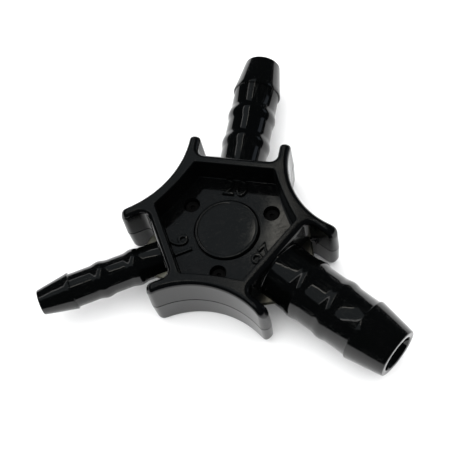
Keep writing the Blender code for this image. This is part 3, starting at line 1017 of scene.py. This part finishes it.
class CALIBRATOR_OT_stage(bpy.types.Operator):
    """Set up the floor, the light and the camera"""

    bl_idname = "calibrator.stage"
    bl_label = "Stage"

    def execute(self, context):
        scene = context.scene
        stage = scene.calibrator_stage
        bm = bmesh.new()
        bmesh.ops.create_grid(bm, x_segments=2, y_segments=2, size=3.0, matrix=Matrix.Translation(
            UP * (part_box("rear_shell")[0].z - 0.02 * MM)
        ))
        mesh = bpy.data.meshes.new("floor")
        bm.to_mesh(mesh)
        bm.free()
        mesh.materials.append(floor_with_painted_shade("floor paint with painted shade", stage.floor))
        floor = bpy.data.objects.new("floor", mesh)
        scene.collection.objects.link(floor)
        for panel in PANELS:
            softbox(scene, *panel)
        surround(scene, stage)
        camera(scene, stage)
        scene.view_settings.view_transform = "Standard"
        return {"FINISHED"}


# Panels over this height in metres face straight down, and lower ones face the hub
CEILING = 0.9

# name, centre in metres, width and depth in metres, radiance, colour, seen in reflections
PANELS = (
    ("wash over the floor", (0.15, -0.10, 1.2), (4.5, 4.5), 2.15, (1.0, 1.0, 1.0), False),
    ("ceiling panel", (-0.43, 0.33, 1.0), (0.56, 1.55), 0.36, (0.86, 0.95, 1.0), True),
    ("ceiling strip", (-0.151, 0.28, 0.99), (0.030, 0.85), 3.2, (1.0, 0.96, 0.86), True),
    ("ceiling band", (-0.72, 0.28, 0.99), (0.09, 1.30), 2.2, (1.0, 0.99, 0.97), True),
    ("side window", (1.05, 0.75, 0.45), (0.50, 0.35), 0.5, (0.75, 0.85, 1.0), True),
)


def softbox(scene, name, centre, size, radiance, tint, reflected):
    """A rectangular light that faces the hub."""
    light = bpy.data.lights.new(name, "AREA")
    light.shape = "RECTANGLE"
    light.size, light.size_y = size
    light.energy = radiance * math.pi * size[0] * size[1]
    light.color = tint
    made = bpy.data.objects.new(name, light)
    scene.collection.objects.link(made)
    made.location = centre
    if centre[2] < CEILING:
        made.rotation_euler = Vector(centre).to_track_quat("Z", "Y").to_euler()
    made.visible_glossy = reflected


def surround(scene, stage):
    """The dim room that the polished plastic shows where no softbox is."""
    world = bpy.data.worlds.new("room")
    scene.world = world
    world.use_nodes = True
    background = world.node_tree.nodes["Background"]
    background.inputs["Color"].default_value = (*stage.room, 1.0)
    background.inputs["Strength"].default_value = stage.room_light


def camera(scene, stage):
    """The camera, aimed at its target on the parting plane and rolled about its line of sight."""
    level = math.cos(stage.elevation)
    back = Vector((
        level * math.sin(stage.azimuth), -level * math.cos(stage.azimuth), math.sin(stage.elevation)
    ))
    right = UP.cross(back).normalized()
    above = back.cross(right)
    c, s = math.cos(stage.roll), math.sin(stage.roll)
    right, above = right * c + above * s, above * c - right * s
    target = Vector((*stage.target, PARTING))
    data = bpy.data.cameras.new("camera")
    data.lens = stage.lens
    data.sensor_width = 36.0
    data.clip_start, data.clip_end = 0.01, 20
    made = bpy.data.objects.new("camera", data)
    scene.collection.objects.link(made)
    made.matrix_world = (
        Matrix.Translation(target + back * stage.distance)
        @ Matrix((right, above, back)).transposed().to_4x4()
    )
    scene.camera = made


OPERATORS = (
    CALIBRATOR_OT_shells,
    CALIBRATOR_OT_numerals,
    CALIBRATOR_OT_discs,
    CALIBRATOR_OT_mandrels,
    CALIBRATOR_OT_blades,
    CALIBRATOR_OT_fasteners,
    CALIBRATOR_OT_stage,
)


class CALIBRATOR_PT_sidebar(bpy.types.Panel):
    """Lists the calibrator's build steps"""

    bl_idname = "CALIBRATOR_PT_sidebar"
    bl_label = "Pipe calibrator"
    bl_space_type = "VIEW_3D"
    bl_region_type = "UI"
    bl_category = "Calibrator"

    def draw(self, context):
        for operator in OPERATORS:
            self.layout.operator(operator.bl_idname)


SETTINGS = {
    "calibrator_hub": HubSettings,
    "calibrator_fasteners": FastenerSettings,
    "calibrator_mandrels": MandrelSettings,
    "calibrator_numerals": NumeralSettings,
    "calibrator_finishes": FinishSettings,
    "calibrator_stage": StageSettings,
}


def register():
    for group in SETTINGS.values():
        bpy.utils.register_class(group)
    for name, group in SETTINGS.items():
        setattr(bpy.types.Scene, name, bpy.props.PointerProperty(type=group))
    for operator in OPERATORS:
        bpy.utils.register_class(operator)
    bpy.utils.register_class(CALIBRATOR_PT_sidebar)


def unregister():
    bpy.utils.unregister_class(CALIBRATOR_PT_sidebar)
    for operator in reversed(OPERATORS):
        bpy.utils.unregister_class(operator)
    for name in SETTINGS:
        delattr(bpy.types.Scene, name)
    for group in reversed(SETTINGS.values()):
        bpy.utils.unregister_class(group)


def main():
    register()
    bpy.ops.calibrator.shells()
    bpy.ops.calibrator.numerals()
    bpy.ops.calibrator.discs()
    bpy.ops.calibrator.mandrels()
    bpy.ops.calibrator.blades()
    bpy.ops.calibrator.fasteners()
    bpy.ops.calibrator.stage()


if __name__ == "__main__":
    main()
